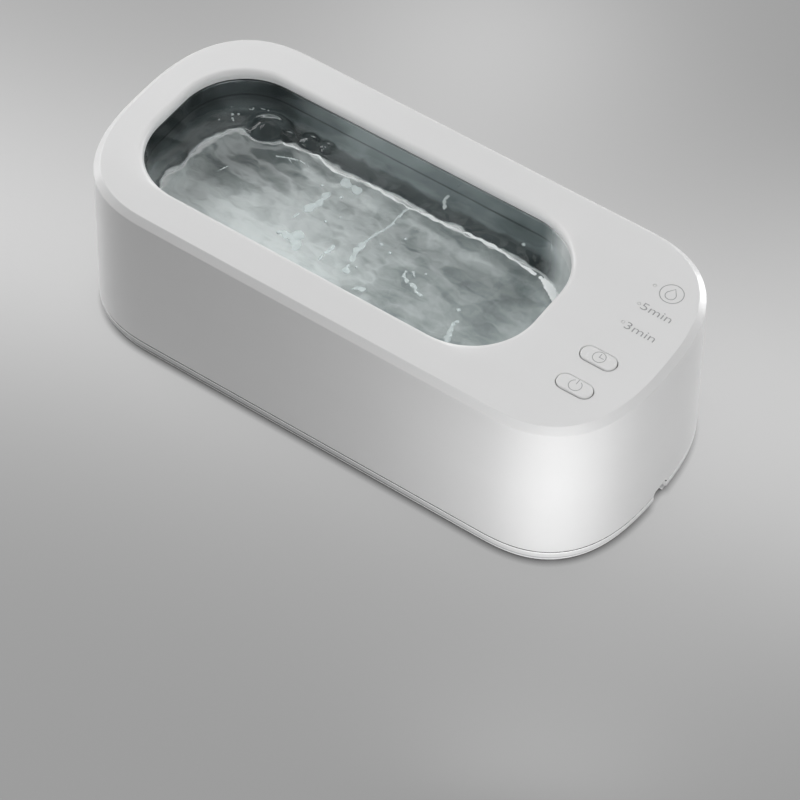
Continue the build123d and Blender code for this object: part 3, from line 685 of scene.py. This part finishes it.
def silicone():
    """Translucent grey silicone, soft and slightly dusty."""
    made = Finish("silicone")
    dust = made.noise(0.001, 4.0, 0.7)
    return made.surface(
        Base_Color=made.blend(dust, tone(196, 198, 200), tone(178, 180, 182)),
        Roughness=made.between(dust, 0.3, 0.7, 0.42, 0.6),
        Subsurface_Weight=0.2,
        Subsurface_Radius=(0.002, 0.002, 0.002),
        Normal=made.bump(dust, 0.00002),
    )


dress("tank_gasket", silicone())
frame_grey, frame_shade = tone(72, 74, 77), tone(60, 62, 65)
dress("tank_frame", moulded_plastic("frame_plastic", frame_grey, frame_shade, 0.45, 0.0006, 0.00002))
dress("transducer_plate", extruded_aluminium("plate_aluminium", tone(176, 178, 180), 0.34))


def piezo_ceramic():
    """Pale ceramic disc under a fired silver electrode."""
    made = Finish("piezo_ceramic")
    fired = made.noise(0.0014, 5.0, 0.7)
    upward = made.part("Z", made.node("NewGeometry", out="Normal"))
    silvered = made.between(upward * upward, 0.5, 0.8)
    silver = made.blend(fired, tone(190, 188, 182), tone(164, 161, 154))
    return made.surface(
        Base_Color=made.blend(silvered, tone(198, 184, 150), silver),
        Metallic=silvered * 0.9,
        Roughness=made.between(fired, 0.3, 0.7, 0.4, 0.6),
        Normal=made.bump(fired, 0.00002),
    )


dress("transducer_disc", piezo_ceramic())


# ---------------------------------------------------------------- water in the basin
# Tap water stands a few millimetres under the case's lip and is stirred by the transducer:
# a slow swell, finer ripples over it and a hump thrown up at the far left.
water_level = 0.0546
basin_x = -0.01565
basin_half_length = 0.0735
basin_half_width = 0.0310
basin_corner = 0.02385
basin_top, basin_floor = 0.0610, 0.0252
basin_taper = 0.0016
basin_fillet = 0.009
skin = 0.0001
fill_above_level = 0.0065
block_margin, block_depth = 0.002, 0.04


def fill_of_basin(top):
    """Solid that fills the basin up to a height, its skin just inside the steel."""
    slope = basin_taper / (basin_top - basin_floor)
    narrower = (basin_top - top) * slope - skin
    bpy.ops.object.select_all(action="DESELECT")
    bpy.ops.mesh.primitive_plane_add(size=2.0, location=(basin_x, 0, top))
    made = bpy.context.object
    made.scale = (basin_half_length - narrower, basin_half_width - narrower, 1.0)
    bpy.ops.object.transform_apply(location=True, rotation=True, scale=True)
    bpy.ops.object.mode_set(mode="EDIT")
    bpy.ops.mesh.select_all(action="SELECT")
    bpy.ops.mesh.bevel(offset=basin_corner - narrower, segments=24, affect="VERTICES")
    bpy.ops.mesh.select_all(action="SELECT")
    fillet = basin_fillet + skin
    wall = top - basin_floor - basin_fillet
    bpy.ops.mesh.inset(thickness=wall * slope, depth=-wall, use_boundary=True)
    steps = 12
    for step in range(steps):
        before, after = (math.pi / 2 * turn / steps for turn in (step, step + 1))
        bpy.ops.mesh.inset(
            thickness=fillet * (math.cos(before) - math.cos(after)),
            depth=-fillet * (math.sin(after) - math.sin(before)),
            use_boundary=True,
        )
    bpy.ops.mesh.select_all(action="DESELECT")
    bpy.ops.mesh.select_non_manifold(extend=False, use_boundary=True, use_wire=False, use_multi_face=False)
    bpy.ops.mesh.edge_face_add()
    bpy.ops.mesh.select_all(action="SELECT")
    bpy.ops.mesh.normals_make_consistent(inside=False)
    bpy.ops.object.mode_set(mode="OBJECT")
    return made


hump_pulls = [
    # x, y, how far the skin is pulled up, how wide and how the pull falls off, in order
    (-0.0632, 0.0175, 0.0036, 0.0092, "SMOOTH"), (-0.0640, 0.0170, 0.0006, 0.0062, "SPHERE"),
    (-0.0495, 0.0215, 0.0014, 0.0040, "SMOOTH"), (-0.0480, 0.0212, 0.0004, 0.0026, "SPHERE"),
    (-0.0425, 0.0222, 0.0011, 0.0030, "SMOOTH"), (-0.0560, 0.0190, 0.0006, 0.0022, "SPHERE"),
]


def pull_skin(sheet, x, y, rise, reach, falloff):
    """Pulls a round patch of the sheet up or down."""
    gaps = [math.hypot(point.co.x - x, point.co.y - y) for point in sheet.data.vertices]
    nearest = gaps.index(min(gaps))
    bpy.ops.object.mode_set(mode="EDIT")
    bpy.ops.mesh.select_all(action="DESELECT")
    bpy.ops.object.mode_set(mode="OBJECT")
    sheet.data.vertices[nearest].select = True
    bpy.ops.object.mode_set(mode="EDIT")
    bpy.ops.transform.translate(
        value=(0, 0, rise),
        use_proportional_edit=True,
        proportional_edit_falloff=falloff,
        proportional_size=reach,
    )
    bpy.ops.object.mode_set(mode="OBJECT")


def stirred_block():
    """Block whose top is the moving surface, wider than the basin and deeper than its floor."""
    bpy.ops.object.select_all(action="DESELECT")
    bpy.ops.mesh.primitive_grid_add(
        x_subdivisions=240, y_subdivisions=104, size=2.0, location=(basin_x, 0, water_level)
    )
    made = bpy.context.object
    made.scale = (basin_half_length + block_margin, basin_half_width + block_margin, 1.0)
    bpy.ops.object.transform_apply(location=True, rotation=True, scale=True)
    waves = [
        # name, kind, size of a wave, height from crest to trough
        ("swell", "SOFT_NOISE", 0.017, 0.0014),
        ("chop", "HARD_NOISE", 0.0085, 0.0003),
        ("ripple", "SOFT_NOISE", 0.0036, 0.00016),
    ]
    for wave, kind, length, height in waves:
        pattern = bpy.data.textures.new(wave, "CLOUDS")
        pattern.noise_scale = length
        pattern.noise_type = kind
        pattern.noise_depth = 1
        lift = made.modifiers.new(wave, "DISPLACE")
        lift.texture = pattern
        lift.texture_coords = "LOCAL"
        lift.direction = "Z"
        lift.strength = height
        lift.mid_level = 0.5 if kind == "SOFT_NOISE" else 0.3
        bpy.ops.object.modifier_apply(modifier=wave)
    for x, y, rise, reach, falloff in hump_pulls:
        pull_skin(made, x, y, rise, reach, falloff)
    bpy.ops.object.mode_set(mode="EDIT")
    bpy.ops.mesh.select_all(action="SELECT")
    bpy.ops.mesh.extrude_region_move(TRANSFORM_OT_translate={"value": (0, 0, -block_depth)})
    bpy.ops.mesh.select_all(action="SELECT")
    bpy.ops.mesh.normals_make_consistent(inside=False)
    bpy.ops.object.mode_set(mode="OBJECT")
    return made


def clear_water():
    """Clean water with the faintest green, a little cloudy in places."""
    made = Finish("clear_water")
    thread = made.noise(0.006, 4.0, 0.6)
    fine = made.noise(0.0022, 2.0)
    return made.surface(
        Base_Color=made.blend(thread, (0.975, 0.99, 0.99, 1.0), (0.94, 0.965, 0.965, 1.0)),
        Roughness=made.between(thread, 0.6, 0.8, 0.0, 0.05),
        Transmission_Weight=1.0,
        IOR=1.333,
        Normal=made.bump(fine, 0.00003, 0.6),
    )


block = stirred_block()
bath_water = fill_of_basin(water_level + fill_above_level)
bath_water.name = "bath_water"
trim = bath_water.modifiers.new("trim", "BOOLEAN")
trim.operation = "INTERSECT"
trim.solver = "EXACT"
trim.object = block
bpy.context.view_layer.objects.active = bath_water
bpy.ops.object.modifier_apply(modifier="trim")
bpy.data.objects.remove(block)
bpy.ops.object.select_all(action="DESELECT")
bath_water.select_set(True)
bpy.context.view_layer.objects.active = bath_water
bpy.ops.object.shade_smooth_by_angle(angle=math.radians(40))
bath_water.data.materials.clear()
bath_water.data.materials.append(clear_water())
bath_water.visible_shadow = False
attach(bath_water, "case")


# ---------------------------------------------------------------- streaks and drops on the water
# Stirring leaves thin streaks, flat patches and small round bubbles lying on the surface.
# Each is run together from overlapping lumps, so that its edge wanders like a real one.
lump_voxel, lump_smoothings = 0.00016, 4


def on_water(x, y):
    """Height of the water's skin over a point."""
    hit, place, _, _ = bath_water.ray_cast(Vector((x, y, 0.09)), Vector((0, 0, -1)))
    return place.z if hit else water_level


def lump(x, y, radius, flat):
    """A flattened ball half sunk in the water's skin."""
    place = (x, y, on_water(x, y))
    bpy.ops.mesh.primitive_uv_sphere_add(segments=14, ring_count=8, radius=radius, location=place)
    made = bpy.context.object
    made.scale = (1.0, 1.0, flat)
    return made


def streak(stops, width, flat, chance):
    """Lumps strewn along a line on the water, close enough to run together."""
    spacing, thin, thick, wander = 0.28, 0.5, 1.15, 0.22
    made = []
    for (x0, y0), (x1, y1) in zip(stops, stops[1:]):
        steps = max(2, round(math.hypot(x1 - x0, y1 - y0) / (width * spacing)))
        for step in range(steps + 1):
            share = step / steps
            radius = width / 2 * chance.uniform(thin, thick)
            aside = width * chance.uniform(-wander, wander)
            x, y = x0 + (x1 - x0) * share + aside, y0 + (y1 - y0) * share + aside
            made.append(lump(x, y, radius, flat))
    return made


def joined(pieces, name):
    """Lumps run together into one closed skin and smoothed."""
    bpy.ops.object.select_all(action="DESELECT")
    for piece in pieces:
        piece.select_set(True)
    bpy.context.view_layer.objects.active = pieces[0]
    bpy.ops.object.join()
    made = bpy.context.object
    made.name = name
    bpy.ops.object.transform_apply(location=True, rotation=True, scale=True)
    run_together = made.modifiers.new("run_together", "REMESH")
    run_together.mode = "VOXEL"
    run_together.voxel_size = lump_voxel
    soften = made.modifiers.new("soften", "SMOOTH")
    soften.factor = 0.6
    soften.iterations = lump_smoothings
    for modifier in ("run_together", "soften"):
        bpy.ops.object.modifier_apply(modifier=modifier)
    bpy.ops.object.shade_smooth()
    made.data.materials.clear()
    made.visible_shadow = False
    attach(made, "case")
    return made


def froth():
    """Water-clear lumps with a milky edge."""
    made = Finish("froth")
    milk = made.noise(0.0015, 3.0)
    return made.surface(
        Base_Color=made.blend(milk, (0.84, 0.89, 0.89, 1.0), (0.62, 0.68, 0.68, 1.0)),
        Roughness=made.between(milk, 0.3, 0.7, 0.05, 0.14),
        Transmission_Weight=0.55,
        IOR=1.333,
    )


chance = random.Random(7)
runs = [
    # stops along the run in mm, width in mm
    (((-30.2, 6.6), (-31.0, 1.0), (-31.6, -3.5)), 3.2),
    (((-32.8, -16.0), (-29.5, -15.8), (-27.0, -17.0), (-25.6, -18.2)), 3.2),
    (((-27.6, -13.4), (-27.0, -17.0)), 3.6),
    (((-16.0, -11.4), (-16.9, -18.3)), 1.7),
    (((-6.2, 15.2), (-6.4, 10.5), (-6.2, 6.2), (-8.2, 1.0), (-9.0, -5.3)), 1.2),
    (((-9.0, -5.3), (-8.4, -13.2)), 2.5),
    (((-29.5, 14.1), (-24.1, 12.6)), 3.8),
    (((8.7, -6.7), (9.6, -9.0), (11.9, -10.1), (14.0, -10.4), (18.6, -12.5)), 1.4),
    (((10.4, -4.9), (12.6, -7.4)), 1.0),
    (((33.4, -14.8), (35.5, -22.7)), 2.0),
    (((1.1, 27.3), (1.6, 25.2), (3.5, 22.6)), 1.4),
    (((-64.0, -2.0), (-66.5, -8.5)), 0.7),
    (((-33.0, -6.5), (-33.4, -8.8)), 1.2),
    (((2.6, -20.6), (0.0, -21.7)), 2.0),
    (((-8.0, -15.6), (-6.4, -17.4)), 2.2),
    (((-70.6, 13.0), (-70.7, 15.3), (-69.7, 18.8), (-67.3, 21.1), (-64.4, 22.8), (-60.9, 22.9)), 0.34),
    (((-79.2, 19.0), (-77.6, 19.8)), 0.7),
    (((-74.0, 21.4), (-71.6, 22.4)), 0.7),
    (((-71.2, 23.6), (-69.4, 24.4)), 0.6),
    (((-54.5, 9.6), (-50.6, 11.4), (-46.5, 12.6), (-42.8, 12.2)), 0.8),
    (((-50.6, 11.4), (-48.4, 10.2), (-44.8, 10.8)), 0.6),
]
streak_flat, bead_flat = 0.2, 0.6
lumps = []
for stops, width in runs:
    lumps += streak([(x / 1000, y / 1000) for x, y in stops], width / 1000, streak_flat, chance)
beads = [
    # x, y and radius in mm
    (-34.6, 8.3, 0.6), (-26.3, 7.3, 0.7), (-21.5, 0.0, 0.5), (-24.4, -4.2, 0.6), (-33.8, -16.7, 0.8),
    (-4.1, -1.8, 0.7), (0.0, -3.1, 0.6), (0.9, 4.4, 0.6), (14.4, -3.7, 0.5), (31.4, -10.0, 0.8),
    (-5.2, -14.2, 0.5), (32.8, 24.5, 0.7), (-77.0, 16.4, 0.6), (-75.9, 15.0, 0.5), (-75.4, 17.6, 0.5),
    (-75.1, 14.4, 0.4), (-73.0, 22.6, 0.4), (-79.2, 12.0, 0.4), (-68.2, 24.4, 0.4),
]
for x, y, radius in beads:
    lumps.append(lump(x / 1000, y / 1000, radius / 1000, bead_flat))
water_froth = joined(lumps, "water_froth")
water_froth.data.materials.append(froth())


# ---------------------------------------------------------------- bright crest
# A thin wandering white crest lies on the water where the swell turns back from the far
# wall, thickest at the right-hand end, where it spreads into a flat patch. It is a painted
# highlight: a white piece put where the far side shows a bright reflection.
def painted_crest_highlight():
    """White stand-in for a bright reflection, a painted highlight, brighter where it is thick."""
    made = Finish("painted_crest_highlight")
    cells = made.node("TexVoronoi", {}, {"Vector": made.place, "Scale": 3500.0}, out="Distance")
    cloud = made.noise(0.003, 3.0)
    return made.surface(
        Base_Color=made.blend(cloud, tone(250, 252, 252), tone(232, 238, 238)),
        Roughness=made.between(cloud, 0.3, 0.7, 0.25, 0.4),
        Transmission_Weight=0.12,
        IOR=1.333,
        Normal=made.bump(cells, 0.00003),
    )


crest_stops = [
    # x and y in mm
    (-55.6, 15.8), (-52.4, 16.3), (-48.0, 16.7), (-43.7, 17.6), (-40.8, 16.9), (-37.6, 15.9),
    (-32.7, 15.6), (-29.0, 16.2), (-23.0, 17.2),
    (-7.0, 16.2), (1.0, 17.1), (9.0, 17.0), (17.0, 18.0), (25.0, 18.2), (36.0, 17.0), (43.0, 16.4),
]
lump_gap, crest_flat, patch_flat = 0.4, 0.3, 0.16
crest = []
for (x0, y0), (x1, y1) in zip(crest_stops, crest_stops[1:]):
    steps = max(1, round((x1 - x0) / lump_gap))
    for step in range(steps):
        share = step / steps
        ease = share * share * (3 - 2 * share)
        x, y = x0 + (x1 - x0) * share, y0 + (y1 - y0) * ease
        radius = 0.44 + 0.16 * math.sin(x * 0.31 + 0.6) + 0.10 * math.sin(x * 0.83) + 0.002 * (x + 58)
        wandered = y + 0.18 * math.sin(x * 1.3)
        crest.append(lump(x / 1000, wandered / 1000, radius / 1000, crest_flat))
end_patch = [
    # x, y and radius in mm
    (45.0, 16.0, 0.8), (46.4, 15.6, 1.0), (47.8, 15.0, 1.4), (49.2, 14.2, 1.7), (50.6, 13.4, 1.7),
    (51.8, 12.4, 1.5), (52.8, 11.4, 1.2), (53.6, 10.4, 0.8),
]
for x, y, radius in end_patch:
    crest.append(lump(x / 1000, y / 1000, radius / 1000, patch_flat))
water_crest = joined(crest, "water_crest")
water_crest.data.materials.append(painted_crest_highlight())


# ---------------------------------------------------------------- case, keys and lights
# The upper housing is one bright moulding, polished in the tool and lightly textured. The
# keys are moulded apart from the same plastic and lie flush in it, over three pin-hole lights.
case_white = moulded_plastic("case_white", tone(237, 237, 237), tone(234, 234, 234), 0.3, glow=0.1)
dress("upper_housing", case_white)
key_white = moulded_plastic("key_white", tone(237, 237, 237), tone(234, 234, 234), 0.27, 0.0003)
dress("power_button", key_white)
dress("timer_button", key_white)


def clear_acrylic():
    """Milky light-guide acrylic with faint moulding haze."""
    made = Finish("clear_acrylic")
    haze = made.noise(0.002, 3.0)
    return made.surface(
        Base_Color=made.blend(haze, tone(246, 246, 246), tone(238, 238, 238)),
        Roughness=made.between(haze, 0.3, 0.7, 0.2, 0.32),
        Transmission_Weight=0.1,
        IOR=1.49,
    )


dress("light_pipes", clear_acrylic())


def led_white():
    """Surface-mount light: white body with a yellow phosphor window on top."""
    made = Finish("led_white")
    upward = made.part("Z", made.node("NewGeometry", out="Normal"))
    window = made.between(upward, 0.7, 0.9)
    grain = made.noise(0.0002, 3.0)
    return made.surface(
        Base_Color=made.blend(window, tone(232, 230, 222), tone(226, 202, 96)),
        Roughness=made.between(grain, 0.3, 0.7, 0.35, 0.5),
        Normal=made.bump(grain, 0.00001),
    )


dress("indicator_leds", led_white())


# ---------------------------------------------------------------- printed marks
# Grey ink a few hundredths of a millimetre thick: the two run times and a drop beside the
# lights on the panel, a clock on the timer key and an on-off sign on the power key.
ink_height = 0.00003
digit_share, thinned = 0.72, 0.00004
key_line, drop_line = 0.00024, 0.00028


def print_ink():
    """Grey screen-printing ink, a little uneven in cover."""
    made = Finish("print_ink")
    cover = made.noise(0.0004, 4.0, 0.7)
    return made.surface(
        Base_Color=made.blend(cover, tone(158, 158, 159), tone(172, 172, 173)),
        Roughness=made.between(cover, 0.3, 0.7, 0.45, 0.6),
        Normal=made.bump(cover, 0.00001),
    )


ink = print_ink()


def settle_mark(made, name, body):
    """Inks a mark and lets it ride on the body it is printed on."""
    made.name = name
    made.data.materials.clear()
    made.data.materials.append(ink)
    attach(made, body)


def ink_word(name, word, left, bottom, top, width, height):
    """A printed word read along +X, width by height, its lower left corner at left, bottom."""
    bpy.ops.object.select_all(action="DESELECT")
    bpy.ops.object.text_add()
    made = bpy.context.object
    made.data.body = word
    made.data.size = height / digit_share
    made.data.offset = -thinned
    made.data.extrude = ink_height
    made.data.resolution_u = 5
    bpy.ops.object.convert(target="MESH")
    made = bpy.context.object
    low, high = (Vector(corner) for corner in (made.bound_box[0], made.bound_box[6]))
    stretch = Vector((width / (high.x - low.x), height / (high.y - low.y), 1.0))
    made.scale = stretch
    made.location = (left - low.x * stretch.x, bottom - low.y * stretch.y, top)
    bpy.ops.object.transform_apply(location=True, rotation=True, scale=True)
    settle_mark(made, name, "case")


def ink_lines(name, body, centre, top, lines, width):
    """Printed lines round a centre; each has its points and whether it closes."""
    bpy.ops.object.select_all(action="DESELECT")
    bpy.ops.curve.primitive_bezier_circle_add()
    made = bpy.context.object
    made.data.splines.clear()
    for points, closed in lines:
        line = made.data.splines.new("POLY")
        line.points.add(len(points) - 1)
        for point, (x, y) in zip(line.points, points):
            point.co = (x, y, 0.0, 1.0)
        line.use_cyclic_u = closed
    made.data.bevel_depth = width / 2
    made.data.bevel_resolution = 2
    made.data.use_fill_caps = True
    bpy.ops.object.convert(target="MESH")
    made = bpy.context.object
    made.scale = (1.0, 1.0, ink_height / (width / 2))
    made.location = (*centre, top)
    bpy.ops.object.transform_apply(location=True, rotation=True, scale=True)
    settle_mark(made, name, body)


def arc(radius, start, end, steps=48, middle=(0.0, 0.0)):
    """Points on a round arc; angles in degrees, anticlockwise from +X."""
    x, y = middle
    turns = (math.radians(start + (end - start) * step / steps) for step in range(steps + 1))
    return [(x + radius * math.cos(turn), y + radius * math.sin(turn)) for turn in turns]


panel_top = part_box("upper_housing")[1].z
key_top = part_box("timer_button")[1].z
ink_word("mark_3_min", "3min", 0.0818, 0.0059, panel_top, 0.0107, 0.0029)
ink_word("mark_5_min", "5min", 0.0817, 0.0154, panel_top, 0.0108, 0.0029)

drop_round, drop_low, drop_tip = 0.00175, -0.0007, 0.0023
flank = math.degrees(math.acos(drop_round / (drop_tip - drop_low)))
drop = arc(drop_round, 90 + flank, 450 - flank, 40, (0.0, drop_low)) + [(0.0, drop_tip)]
ring_and_drop = [(arc(0.00385, 0, 355, 71), True), (drop, True)]
ink_lines("mark_drop", "case", (0.0868, 0.0261), panel_top, ring_and_drop, drop_line)
hands = [((0.0, 0.0017), (0.0, -0.0002)), ((-0.0002, 0.0), (0.0016, 0.0))]
clock = [(arc(0.0021, 0, 352, 44), True)] + [(hand, False) for hand in hands]
ink_lines("mark_clock", "timer_key", (0.08245, -0.0087), key_top, clock, key_line)
power = [(arc(0.0021, 118, 422), False), (((0.0, 0.0005), (0.0, 0.0024)), False)]
ink_lines("mark_power", "power_key", (0.0825, -0.02225), key_top, power, key_line)
